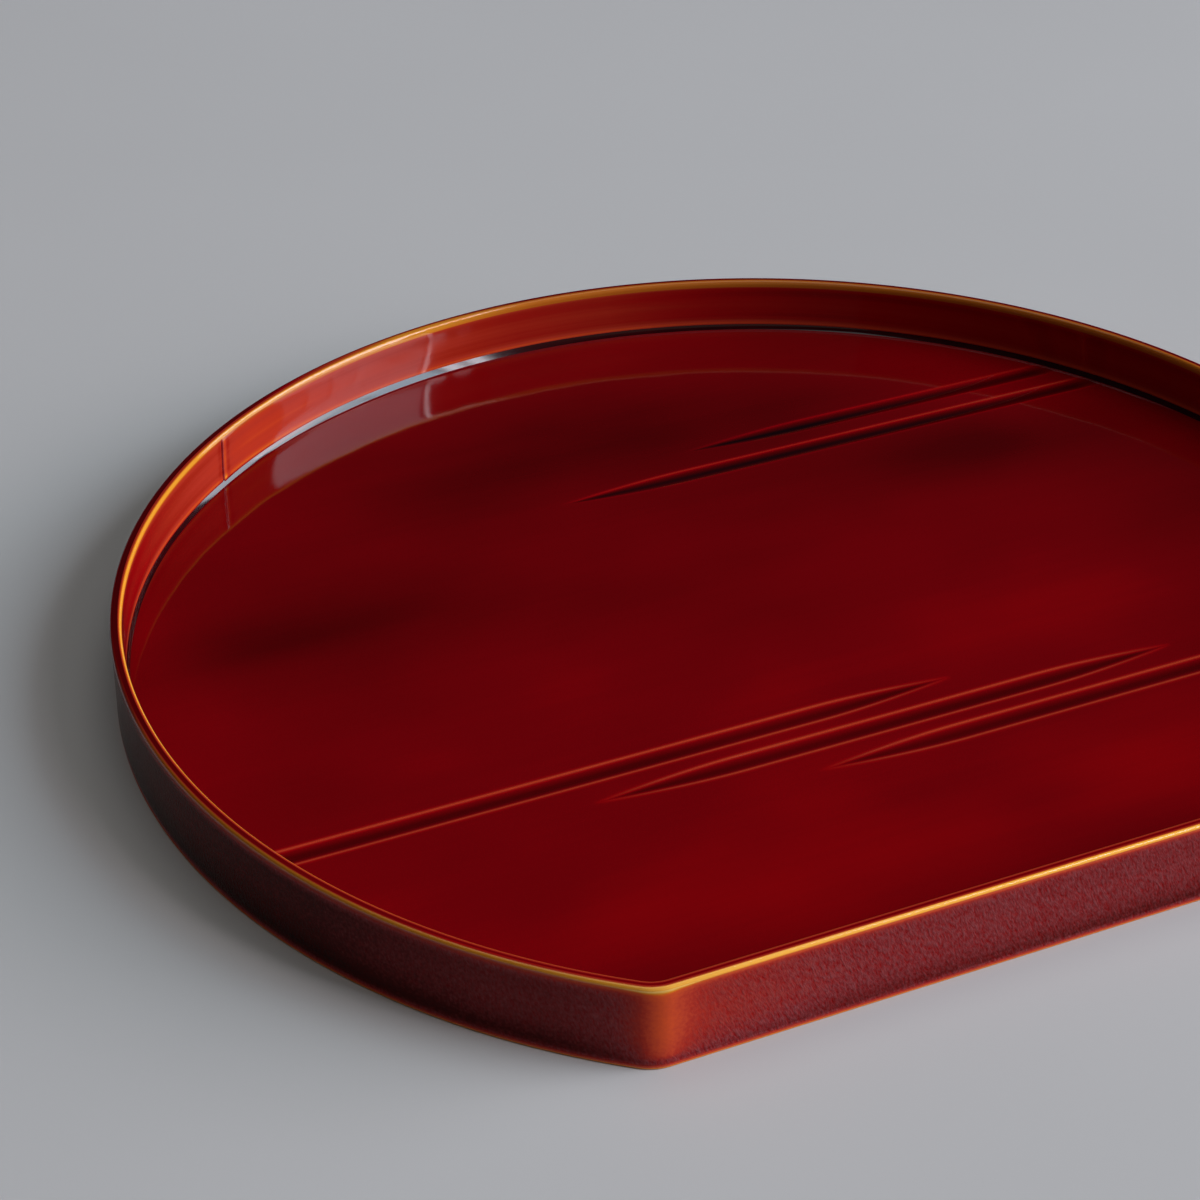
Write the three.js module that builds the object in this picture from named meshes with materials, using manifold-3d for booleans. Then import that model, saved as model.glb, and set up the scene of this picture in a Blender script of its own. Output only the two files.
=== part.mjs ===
// Half-moon lacquer tray: a bent hoop round a floor of four planks, pegged and glued.
// Millimetres, +Z up. The straight side faces -Y and the tray stands on z = 0.
// The outline is drawn round the centre of its circle, and the finished group is moved
// so that the origin is the middle of the tray's footprint.
import * as THREE from "three";
import { mergeVertices } from "three/addons/utils/BufferGeometryUtils.js";
import Module from "manifold-3d";

const wasm = await Module();
wasm.setup();

// Outline, measured on the hoop's outer face
const RIM_RADIUS = 180;
const CHORD_DISTANCE = 144;
const CORNER_RADIUS = 12;

// Hoop
const RIM_HEIGHT = 23.5;
const WALL = 3.2;
const ARRIS = 0.9;
const FOOT_ARRIS = 0.5;
const RABBET = 1;

// The lap where the two ends of the hoop are glued over each other
const LAP_ANGLE = THREE.MathUtils.degToRad(129.4);
const LAP_LENGTH = 30;
const LAP_GLUE = 0.15;

// Floor
const FLOOR_TOP = 7;
const FLOOR_THICKNESS = 5;
const FRONT_PLANK = 57;
const PLANK_WIDTH = 75;
const PLANK_COUNT = 4;

// Holding strip under the floor's edge
const STRIP_WIDTH = 5;
const STRIP_BUTT_ANGLE = THREE.MathUtils.degToRad(60);

// Putty cove between wall and floor
const COVE_LEG = 1.7;
const COVE_EDGE = 0.3;

// Gouge strokes on the floor. Lengths are along the straight side, from the circle's centre.
const GOUGE_RADIUS = 14;
const GROOVE_WIDTH = 6.5;
const GROOVE_TAPER = 42;
const GROOVE_TIP = 0.5;
const GROOVES = [
  { y: -42.5, left: null, right: 29 },
  { y: -54, left: -81, right: 91 },
  { y: -65.5, left: -23, right: null },
  { y: 83.2, left: -28, right: null },
  { y: 96, left: 18.5, right: null },
];

// Bamboo pins across the plank joints, and bamboo pegs through the hoop into the planks
const PIN_RADIUS = 1;
const PIN_LENGTH = 24;
const PIN_SPACING = 76;
const PINS_PER_JOINT = 4;
const PEG_RADIUS = 0.9;
const PEG_LENGTH = 12;
const PEG_DEPTH = 0.9;
const BACK_PEGS = 5;
const FRONT_PEGS = 3;
const FRONT_PEG_SPACING = 66;

// Fits between pieces
const GLUE_LINE = 0.3;
const TIGHTEST_CORNER = 1;

// How finely round shapes are drawn
const ARC_STEPS = 96;
const CORNER_STEPS = 6;
const ARRIS_STEPS = 4;
const COVE_STEPS = 4;
const PEG_SIDES = 10;
const GOUGE_STEPS = 6;
const TAPER_STEPS = 8;
const LAP_STEPS = 8;
const WELD = 1e-4;

// Sizes that follow from the ones above
const FLOOR_BOTTOM = FLOOR_TOP - FLOOR_THICKNESS;
const FLOOR_MIDDLE = FLOOR_TOP - FLOOR_THICKNESS / 2;
const FLOOR_INSET = WALL - RABBET + GLUE_LINE;
const FRONT_EDGE = -(CHORD_DISTANCE - FLOOR_INSET);
const BACK_EDGE = RIM_RADIUS - FLOOR_INSET;
const FOOTPRINT_MIDDLE = (RIM_RADIUS - CHORD_DISTANCE) / 2;
const OVERCUT = 1;

const LACQUER = { color: 0x7a0a08, roughness: 0.18, metalness: 0 };
const LACQUER_EDGE = { color: 0xa5330c, roughness: 0.18, metalness: 0 };
const LACQUER_DARK = { color: 0x1c0a0c, roughness: 0.2, metalness: 0 };
const BAMBOO = { color: 0xc9a45c, roughness: 0.6, metalness: 0 };

// The tray's outline, moved inwards by an inset: the long arc, the left corner, the straight
// side and the right corner, anticlockwise from the right corner.
function outline(inset) {
  const radius = RIM_RADIUS - inset;
  const chord = CHORD_DISTANCE - inset;
  const corner = Math.max(CORNER_RADIUS - inset, TIGHTEST_CORNER);
  const cornerY = corner - chord;
  const cornerX = Math.sqrt((radius - corner) ** 2 - cornerY ** 2);
  const turn = Math.atan2(cornerY, cornerX);
  const arc = new THREE.EllipseCurve(0, 0, radius, radius, turn, Math.PI - turn);
  const left = new THREE.EllipseCurve(-cornerX, cornerY, corner, corner, Math.PI - turn, 1.5 * Math.PI);
  const right = new THREE.EllipseCurve(cornerX, cornerY, corner, corner, -Math.PI / 2, turn);
  return [
    ...arc.getPoints(ARC_STEPS),
    ...left.getPoints(CORNER_STEPS).slice(1),
    ...right.getPoints(CORNER_STEPS).slice(0, -1),
  ];
}

// A closed section of (inset, height) points, carried once round the outline. The section runs
// anticlockwise where the outside of the tray is on its left.
function sweepRound(section) {
  const rings = section.map(({ x: inset, y: height }) =>
    outline(inset).map((point) => new THREE.Vector3(point.x, point.y, height)));
  const along = rings[0].length;
  const positions = rings.flat().flatMap((point) => point.toArray());
  const faces = [];
  for (let i = 0; i < rings.length; i += 1) {
    const next = (i + 1) % rings.length;
    for (let j = 0; j < along; j += 1) {
      const ahead = (j + 1) % along;
      faces.push(i * along + j, next * along + j, i * along + ahead);
      faces.push(i * along + ahead, next * along + j, next * along + ahead);
    }
  }
  return meshGeometry(positions, faces);
}

// A row of rings with equal counts of points, skinned and closed at both ends.
function skin(rings) {
  const around = rings[0].length;
  const positions = rings.flat().flatMap((point) => point.toArray());
  const faces = [];
  for (let i = 0; i < rings.length - 1; i += 1) {
    for (let j = 0; j < around; j += 1) {
      const ahead = (j + 1) % around;
      faces.push(i * around + j, i * around + ahead, (i + 1) * around + j);
      faces.push(i * around + ahead, (i + 1) * around + ahead, (i + 1) * around + j);
    }
  }
  const last = (rings.length - 1) * around;
  for (let j = 1; j < around - 1; j += 1) {
    faces.push(0, j + 1, j);
    faces.push(last, last + j, last + j + 1);
  }
  return meshGeometry(positions, faces);
}

function meshGeometry(positions, faces) {
  const geometry = new THREE.BufferGeometry();
  geometry.setAttribute("position", new THREE.Float32BufferAttribute(positions, 3));
  geometry.setIndex(faces);
  return geometry;
}

// A flat outline, raised from one height to another.
function slab(points, bottom, top) {
  const geometry = new THREE.ExtrudeGeometry(new THREE.Shape(points), {
    depth: top - bottom,
    bevelEnabled: false,
  });
  return geometry.translate(0, 0, bottom);
}

function toSolid(geometry) {
  const bare = geometry.clone();
  bare.deleteAttribute("normal");
  bare.deleteAttribute("uv");
  const merged = mergeVertices(bare, WELD);
  return new wasm.Manifold(new wasm.Mesh({
    numProp: 3,
    vertProperties: new Float32Array(merged.attributes.position.array),
    triVerts: new Uint32Array(merged.index.array),
  }));
}

function toGeometry(solid) {
  const { vertProperties, triVerts } = solid.getMesh();
  return meshGeometry(Array.from(vertProperties), Array.from(triVerts));
}

function cut(solid, cutters) {
  return cutters.reduce((rest, cutter) => rest.subtract(toSolid(cutter)), solid);
}

function piece(name, geometry, finish) {
  const faceted = geometry.index ? geometry.toNonIndexed() : geometry;
  faceted.computeVertexNormals();
  const mesh = new THREE.Mesh(faceted, new THREE.MeshStandardMaterial(finish));
  mesh.name = name;
  return mesh;
}

// Section of the hoop: foot, outer face, rounded lip, inner face and the rabbet for the floor.
function hoopSection() {
  const section = new THREE.Path();
  const shoulder = FLOOR_TOP + GLUE_LINE;
  section.moveTo(WALL - RABBET, 0);
  section.lineTo(WALL - RABBET, shoulder);
  section.lineTo(WALL, shoulder);
  section.absarc(WALL - ARRIS, RIM_HEIGHT - ARRIS, ARRIS, 0, Math.PI / 2, false);
  section.absarc(ARRIS, RIM_HEIGHT - ARRIS, ARRIS, Math.PI / 2, Math.PI, false);
  section.lineTo(0, FOOT_ARRIS);
  section.lineTo(FOOT_ARRIS, 0);
  return section.getPoints(ARRIS_STEPS / 2);
}

// Slot between the tapered ends of the hoop, from the inner face at LAP_ANGLE to the outer
// face one lap back, towards the right.
function lapSlot() {
  const turn = LAP_LENGTH / RIM_RADIUS;
  const slot = (LAP_GLUE * LAP_LENGTH) / WALL / RIM_RADIUS;
  const near = [];
  const far = [];
  for (let i = -1; i <= LAP_STEPS + 1; i += 1) {
    const share = i / LAP_STEPS;
    const radius = RIM_RADIUS - WALL + share * WALL;
    const angle = LAP_ANGLE - share * turn;
    near.push(new THREE.Vector2(radius * Math.cos(angle), radius * Math.sin(angle)));
    far.unshift(new THREE.Vector2(radius * Math.cos(angle + slot), radius * Math.sin(angle + slot)));
  }
  return slab([...near, ...far], -OVERCUT, RIM_HEIGHT + OVERCUT);
}

function rimHoop() {
  const ring = toSolid(sweepRound(hoopSection()));
  return toGeometry(cut(ring, [lapSlot(), ...pegPlaces().map(pegHole)]));
}

// A thin strip glued under the floor's edge, inside the hoop, butted once.
function holdingStrip() {
  const outer = FLOOR_INSET;
  const inner = outer + STRIP_WIDTH;
  const top = FLOOR_BOTTOM - GLUE_LINE;
  const section = [
    new THREE.Vector2(inner, 0),
    new THREE.Vector2(inner, top),
    new THREE.Vector2(outer, top),
    new THREE.Vector2(outer, 0),
  ];
  const length = STRIP_WIDTH + 2 * OVERCUT;
  const butt = new THREE.BoxGeometry(length, GLUE_LINE, top + 2 * OVERCUT);
  butt.translate(RIM_RADIUS - (outer + inner) / 2, 0, top / 2);
  butt.rotateZ(STRIP_BUTT_ANGLE);
  return toGeometry(cut(toSolid(sweepRound(section)), [butt]));
}

// Putty run into the corner between the hoop and the floor, with a hollow face.
function coveBead() {
  const wall = WALL + GLUE_LINE;
  const floor = FLOOR_TOP + GLUE_LINE;
  const hollow = COVE_LEG - COVE_EDGE;
  const section = new THREE.Path();
  section.moveTo(wall, floor);
  section.lineTo(wall + COVE_LEG, floor);
  section.absarc(wall + COVE_LEG, floor + COVE_LEG, hollow, 1.5 * Math.PI, Math.PI, true);
  section.lineTo(wall, floor + COVE_LEG);
  return sweepRound(section.getPoints(COVE_STEPS / 2));
}

// Half the width of a stroke at a distance from its tip.
function strokeHalfWidth(distance) {
  const share = Math.min(Math.max(distance / GROOVE_TAPER, 0), 1);
  return Math.max((GROOVE_WIDTH / 2) * Math.sin((share * Math.PI) / 2), GROOVE_TIP);
}

// One stroke of a round gouge: it sinks in from a pointed tip, or comes from beyond the rim.
function gougeStroke({ y, left, right }) {
  const rim = Math.sqrt(RIM_RADIUS ** 2 - y ** 2);
  const start = left ?? -rim;
  const end = right ?? rim;
  const stations = [];
  for (let i = 0; i <= TAPER_STEPS; i += 1) {
    stations.push(start + (GROOVE_TAPER * i) / TAPER_STEPS);
    stations.push(end - (GROOVE_TAPER * i) / TAPER_STEPS);
  }
  stations.sort((a, b) => a - b);
  return skin(stations.map((x) => {
    const fromLeft = left === null ? GROOVE_TAPER : x - start;
    const fromRight = right === null ? GROOVE_TAPER : end - x;
    return gougeSection(x, y, strokeHalfWidth(Math.min(fromLeft, fromRight)));
  }));
}

// The gouge's round edge below the floor's surface, closed a little above it.
function gougeSection(x, y, halfWidth) {
  const centre = FLOOR_TOP + Math.sqrt(GOUGE_RADIUS ** 2 - halfWidth ** 2);
  const reach = Math.asin(halfWidth / GOUGE_RADIUS);
  const points = [];
  for (let i = 0; i <= GOUGE_STEPS; i += 1) {
    const angle = reach * (1 - (2 * i) / GOUGE_STEPS);
    const across = y - GOUGE_RADIUS * Math.sin(angle);
    points.push(new THREE.Vector3(x, across, centre - GOUGE_RADIUS * Math.cos(angle)));
  }
  points.push(new THREE.Vector3(x, y + halfWidth, FLOOR_TOP + OVERCUT));
  points.push(new THREE.Vector3(x, y - halfWidth, FLOOR_TOP + OVERCUT));
  return points;
}

// Places along Y where one plank ends and the next begins, the floor's own edges included.
function plankEdges() {
  const joints = [];
  for (let i = 0; i < PLANK_COUNT - 1; i += 1) {
    joints.push(FRONT_EDGE + FRONT_PLANK + i * PLANK_WIDTH);
  }
  return [FRONT_EDGE, ...joints, BACK_EDGE];
}

function floorPlank(index, floor) {
  const edges = plankEdges();
  const low = index === 0 ? edges[0] - OVERCUT : edges[index] + GLUE_LINE / 2;
  const last = index === PLANK_COUNT - 1;
  const high = last ? edges[index + 1] + OVERCUT : edges[index + 1] - GLUE_LINE / 2;
  const band = new THREE.BoxGeometry(2 * RIM_RADIUS, high - low, FLOOR_THICKNESS + 2 * OVERCUT);
  band.translate(0, (low + high) / 2, FLOOR_MIDDLE);
  return toGeometry(floor.intersect(toSolid(band)));
}

// The whole floor with its strokes and its holes, before it is parted into planks.
function carvedFloor() {
  const board = toSolid(slab(outline(FLOOR_INSET), FLOOR_BOTTOM, FLOOR_TOP));
  const cutters = [
    ...GROOVES.map(gougeStroke),
    ...pinPlaces().map(pinHole),
    ...pegPlaces().map(pegHole),
  ];
  return cut(board, cutters);
}

function pinPlaces() {
  const joints = plankEdges().slice(1, -1);
  return joints.flatMap((y) => {
    const places = [];
    for (let i = 0; i < PINS_PER_JOINT; i += 1) {
      places.push(new THREE.Vector3((i - (PINS_PER_JOINT - 1) / 2) * PIN_SPACING, y, FLOOR_MIDDLE));
    }
    return places;
  });
}

function pinHole(place) {
  const radius = PIN_RADIUS + GLUE_LINE;
  const hole = new THREE.CylinderGeometry(radius, radius, PIN_LENGTH + 2 * GLUE_LINE, PEG_SIDES);
  return hole.translate(place.x, place.y, place.z);
}

// Pegs stand square to the hoop: one at each end of each plank, more behind and in front.
function pegPlaces() {
  const edges = plankEdges();
  const fromCentre = RIM_RADIUS - PEG_DEPTH - PEG_LENGTH / 2;
  const places = [];
  for (let i = 0; i < PLANK_COUNT - 1; i += 1) {
    const angle = Math.asin((edges[i] + edges[i + 1]) / 2 / RIM_RADIUS);
    places.push(radialPlace(angle, fromCentre), radialPlace(Math.PI - angle, fromCentre));
  }
  const first = Math.asin(edges[PLANK_COUNT - 1] / RIM_RADIUS);
  const sweep = Math.PI - 2 * first;
  for (let i = 0; i < BACK_PEGS; i += 1) {
    places.push(radialPlace(first + (sweep * (i + 0.5)) / BACK_PEGS, fromCentre));
  }
  for (let i = 0; i < FRONT_PEGS; i += 1) {
    const x = (i - (FRONT_PEGS - 1) / 2) * FRONT_PEG_SPACING;
    const y = -(CHORD_DISTANCE - PEG_DEPTH - PEG_LENGTH / 2);
    places.push({ centre: new THREE.Vector3(x, y, FLOOR_MIDDLE), angle: -Math.PI / 2 });
  }
  return places;
}

function radialPlace(angle, fromCentre) {
  const centre = new THREE.Vector3(fromCentre * Math.cos(angle), fromCentre * Math.sin(angle), FLOOR_MIDDLE);
  return { centre, angle };
}

function pegHole({ centre, angle }) {
  const radius = PEG_RADIUS + GLUE_LINE;
  const hole = new THREE.CylinderGeometry(radius, radius, PEG_LENGTH + 2 * GLUE_LINE, PEG_SIDES);
  hole.rotateZ(angle - Math.PI / 2);
  return hole.translate(centre.x, centre.y, centre.z);
}

function bambooPin(place, index) {
  const pin = piece(`plank_pin_${index + 1}`,
    new THREE.CylinderGeometry(PIN_RADIUS, PIN_RADIUS, PIN_LENGTH, PEG_SIDES), BAMBOO);
  pin.position.copy(place);
  return pin;
}

function bambooPeg({ centre, angle }, index) {
  const peg = piece(`hoop_peg_${index + 1}`,
    new THREE.CylinderGeometry(PEG_RADIUS, PEG_RADIUS, PEG_LENGTH, PEG_SIDES), BAMBOO);
  peg.position.copy(centre);
  peg.rotation.z = angle - Math.PI / 2;
  return peg;
}

function buildTray() {
  const tray = new THREE.Group();
  tray.add(piece("rim_hoop", rimHoop(), LACQUER_EDGE));
  tray.add(piece("holding_strip", holdingStrip(), LACQUER_DARK));
  tray.add(piece("cove_bead", coveBead(), LACQUER_DARK));
  const floor = carvedFloor();
  for (let i = 0; i < PLANK_COUNT; i += 1) {
    tray.add(piece(`floor_plank_${i + 1}`, floorPlank(i, floor), LACQUER));
  }
  pinPlaces().forEach((place, index) => tray.add(bambooPin(place, index)));
  pegPlaces().forEach((place, index) => tray.add(bambooPeg(place, index)));
  tray.position.y = -FOOTPRINT_MIDDLE;
  return tray;
}

export default buildTray();
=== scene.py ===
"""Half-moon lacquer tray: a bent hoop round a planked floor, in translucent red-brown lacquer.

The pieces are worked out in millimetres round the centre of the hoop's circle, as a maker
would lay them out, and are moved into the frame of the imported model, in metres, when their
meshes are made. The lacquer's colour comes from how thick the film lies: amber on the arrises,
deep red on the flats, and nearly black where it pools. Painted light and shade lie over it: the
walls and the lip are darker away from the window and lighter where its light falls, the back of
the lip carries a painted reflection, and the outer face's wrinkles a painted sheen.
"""

import logging
import math
from dataclasses import dataclass
from enum import Enum
from typing import Any, Dict, List, Optional, Sequence, Tuple, Union

import bpy
import numpy as np
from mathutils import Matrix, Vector


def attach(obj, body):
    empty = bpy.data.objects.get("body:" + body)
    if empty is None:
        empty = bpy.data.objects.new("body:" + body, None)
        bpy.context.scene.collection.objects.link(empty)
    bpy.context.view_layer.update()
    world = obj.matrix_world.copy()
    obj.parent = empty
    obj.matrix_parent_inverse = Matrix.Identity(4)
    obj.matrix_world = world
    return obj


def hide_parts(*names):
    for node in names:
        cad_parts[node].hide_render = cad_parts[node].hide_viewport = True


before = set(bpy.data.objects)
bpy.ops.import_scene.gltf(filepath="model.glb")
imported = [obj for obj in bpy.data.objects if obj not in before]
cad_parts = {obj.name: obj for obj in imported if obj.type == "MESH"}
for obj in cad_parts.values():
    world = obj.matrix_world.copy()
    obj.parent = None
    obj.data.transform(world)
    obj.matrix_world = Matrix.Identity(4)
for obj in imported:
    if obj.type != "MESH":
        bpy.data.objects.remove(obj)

log = logging.getLogger("tray")

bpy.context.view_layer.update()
MILLIMETRE = 0.001
BODY = "root"
FILM = "film"
# The point attribute of painted light and shade, which multiplies the lacquer's colour.
PAINTED_SHADE = "shade"
# Points nearer to a face than this, in millimetres, are on it.
TOUCH = 0.01
# Edges sharper than this, in degrees, stay sharp.
CREASE = 35.0

Colour = Tuple[float, float, float]
Scale = Tuple[float, float, float]
Span = Tuple[float, float]


class Slot(Enum):
    """The record's material slots."""

    HOOP = "hoop_lacquer"
    FLOOR = "floor_lacquer"
    COVE = "cove_lacquer"
    UNDER = "under_lacquer"


class Kind(Enum):
    """What a shader socket carries."""

    NUMBER = "number"
    VECTOR = "vector"
    COLOUR = "colour"


class Wire:
    """One output socket of a shader, which adds nodes when it is used in an expression."""

    def __init__(self, shader: "Shader", socket: bpy.types.NodeSocket, kind: Kind) -> None:
        """Wraps a socket.

        Args:
            shader: The shader that the socket belongs to.
            socket: The output socket.
            kind: What the socket carries.
        """
        self.shader = shader
        self.socket = socket
        self.kind = kind

    def _math(self, operation: str, left: Any, right: Any) -> "Wire":
        """Adds the node for one operation on two values.

        Args:
            operation: The operation's name, shared by the nodes for numbers and vectors.
            left: The first value.
            right: The second value.

        Returns:
            The result of the operation.
        """
        if self.kind is Kind.NUMBER:
            return self.shader.node(
                "ShaderNodeMath", {"operation": operation}, {0: left, 1: right}, Kind.NUMBER
            )
        if self.kind is Kind.VECTOR:
            return self.shader.node(
                "ShaderNodeVectorMath",
                {"operation": operation},
                {0: as_triple(left), 1: as_triple(right)},
                Kind.VECTOR,
            )
        return self.shader.node(
            "ShaderNodeMix",
            {"data_type": "RGBA", "blend_type": operation},
            {0: 1.0, 6: as_rgba(left), 7: as_rgba(right)},
            Kind.COLOUR,
            output=2,
        )

    def __add__(self, other: Any) -> "Wire":
        """Adds a value."""
        return self._math("ADD", self, other)

    def __radd__(self, other: Any) -> "Wire":
        """Adds this to a value."""
        return self._math("ADD", other, self)

    def __sub__(self, other: Any) -> "Wire":
        """Takes a value away."""
        return self._math("SUBTRACT", self, other)

    def __rsub__(self, other: Any) -> "Wire":
        """Takes this away from a value."""
        return self._math("SUBTRACT", other, self)

    def __mul__(self, other: Any) -> "Wire":
        """Multiplies by a value."""
        return self._math("MULTIPLY", self, other)

    def __rmul__(self, other: Any) -> "Wire":
        """Multiplies a value by this."""
        return self._math("MULTIPLY", other, self)


def as_triple(value: Any) -> Any:
    """Turns a plain number into three equal ones, and leaves a triple or a wire as it is."""
    return (value,) * 3 if isinstance(value, (int, float)) else value


def as_rgba(value: Any) -> Any:
    """Turns a number or a triple into a colour with full alpha, for a colour's socket.

    Args:
        value: A number, a triple or a wire.

    Returns:
        The value, with a number or a triple made four numbers.
    """
    if isinstance(value, Wire):
        return value
    red, green, blue = as_triple(value)
    return (red, green, blue, 1.0)


class Shader:
    """A material in the making: one gloss surface and the nodes that feed it."""

    def __init__(self, name: str) -> None:
        """Makes an empty node material with its surface.

        Args:
            name: The material's name.
        """
        self.material = bpy.data.materials.new(name)
        self.material.use_nodes = True
        self.nodes = self.material.node_tree.nodes
        self.links = self.material.node_tree.links
        self.nodes.clear()
        self.surface = self.nodes.new("ShaderNodeBsdfPrincipled")
        output = self.nodes.new("ShaderNodeOutputMaterial")
        self.links.new(self.surface.outputs["BSDF"], output.inputs["Surface"])

    def node(
        self,
        kind: str,
        settings: Optional[Dict[str, Any]] = None,
        sockets: Optional[Dict[Union[int, str], Any]] = None,
        carries: Kind = Kind.NUMBER,
        output: Union[int, str] = 0,
    ) -> Wire:
        """Adds any node: its settings first, then its sockets' values and links.

        Args:
            kind: The node's type.
            settings: The node's own settings, by name; "stops" holds a ramp's stops.
            sockets: Values or wires for the node's inputs, by name or place.
            carries: What the chosen output carries.
            output: The chosen output, by name or place.

        Returns:
            The chosen output.
        """
        made = self.nodes.new(kind)
        for name, value in (settings or {}).items():
            if name == "stops":
                self._set_stops(made.color_ramp, value)
            else:
                setattr(made, name, value)
        for key, value in (sockets or {}).items():
            self.feed(made.inputs[key], value)
        return Wire(self, made.outputs[output], carries)

    def feed(self, socket: bpy.types.NodeSocket, value: Any) -> None:
        """Links a wire to an input socket, or sets the socket's own value.

        Args:
            socket: The input socket.
            value: A wire or a plain value.
        """
        if isinstance(value, Wire):
            self.links.new(value.socket, socket)
        else:
            socket.default_value = value

    def dress(self, **values: Any) -> None:
        """Sets or links the surface's inputs.

        Args:
            **values: Values or wires by input name, with underscores for spaces.
        """
        for name, value in values.items():
            words = name.split("_")
            title = " ".join(word if word == "IOR" else word.capitalize() for word in words)
            self.feed(self.surface.inputs[title], value)

    @staticmethod
    def _set_stops(ramp: bpy.types.ColorRamp, stops: Sequence[Tuple[float, Colour]]) -> None:
        """Gives a colour ramp its stops.

        Args:
            ramp: The ramp.
            stops: Places from 0 to 1 with their colours, in order.
        """
        while len(ramp.elements) > 1:
            ramp.elements.remove(ramp.elements[-1])
        ramp.elements[0].position = stops[0][0]
        ramp.elements[0].color = as_rgba(stops[0][1])
        for place, colour in stops[1:]:
            ramp.elements.new(place).color = as_rgba(colour)

    def place(self) -> Wire:
        """Gives the place on the piece, in metres."""
        return self.node("ShaderNodeTexCoord", carries=Kind.VECTOR, output="Object")

    def stored(self, name: str) -> Wire:
        """Gives the number that is stored at the mesh's points under a name."""
        settings = {"attribute_type": "GEOMETRY", "attribute_name": name}
        return self.node("ShaderNodeAttribute", settings, output="Fac")

    def between(self, value: Wire, ends: Span) -> Wire:
        """Rises from 0 at one end to 1 at the other, and keeps to 0 and 1 beyond them."""
        sockets = {"Value": value, "From Min": ends[0], "From Max": ends[1]}
        return self.node("ShaderNodeMapRange", {"clamp": True}, sockets)

    def ramp(self, stops: Sequence[Tuple[float, Colour]], share: Wire) -> Wire:
        """Reads a colour from a row of stops, which are places from 0 to 1 with colours."""
        return self.node("ShaderNodeValToRGB", {"stops": stops}, {"Fac": share}, Kind.COLOUR)

    def noise(self, place: Wire, scale: Scale, detail: float = 2.0) -> Wire:
        """Adds a cloudy noise whose middle is 0, stretched by a scale for each axis.

        Args:
            place: The place on the piece.
            scale: Blotches a metre along each axis.
            detail: How many finer layers lie over the first.

        Returns:
            The noise, from about -0.5 to 0.5.
        """
        cloud = self.node(
            "ShaderNodeTexNoise",
            {"noise_dimensions": "3D"},
            {"Vector": place * scale, "Scale": 1.0, "Detail": detail, "Roughness": 0.5},
        )
        return cloud - 0.5

    def waver(self, wave: Wire, middle: Colour, swing: Colour) -> Wire:
        """Makes a colour that wavers round its middle.

        Args:
            wave: A noise whose middle is 0.
            middle: The colour where the noise is 0.
            swing: How far each channel follows the noise.

        Returns:
            The colour.
        """
        channels = zip(("Red", "Green", "Blue"), middle, swing)
        sockets = {name: wave * gain + level for name, level, gain in channels}
        return self.node("ShaderNodeCombineColor", None, sockets, Kind.COLOUR)


class Tint(Enum):
    """The lacquer's colours from a thin film to a thick one."""

    RED = (
        (0.00, (0.98, 0.58, 0.12)),
        (0.06, (0.90, 0.375, 0.030)),
        (0.14, (0.67, 0.165, 0.013)),
        (0.22, (0.56, 0.068, 0.013)),
        (0.31, (0.45, 0.034, 0.013)),
        (0.38, (0.40, 0.031, 0.015)),
        (0.44, (0.335, 0.019, 0.008)),
        (0.50, (0.30, 0.010, 0.0055)),
        (0.55, (0.30, 0.0045, 0.004)),
        (0.60, (0.28, 0.0007, 0.0026)),
        (0.66, (0.19, 0.0003, 0.0025)),
        (0.80, (0.085, 0.0002, 0.001)),
        (1.00, (0.008, 0.0012, 0.002)),
    )
    # The outer face's colours. Their green and blue at the thick end are partly painted reflection
    # of the pale ground, in place of the outer face's low gloss.
    BROWN_AND_SHEEN = (
        (0.00, (0.98, 0.58, 0.12)),
        (0.06, (0.88, 0.35, 0.035)),
        (0.14, (0.76, 0.18, 0.014)),
        (0.22, (0.66, 0.09, 0.018)),
        (0.38, (0.50, 0.053, 0.022)),
        (0.45, (0.41, 0.030, 0.017)),
        (0.52, (0.318, 0.026, 0.020)),
        (0.64, (0.222, 0.0255, 0.0275)),
        (0.72, (0.155, 0.014, 0.015)),
        (0.82, (0.06, 0.0015, 0.001)),
        (1.00, (0.008, 0.001, 0.001)),
    )


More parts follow.
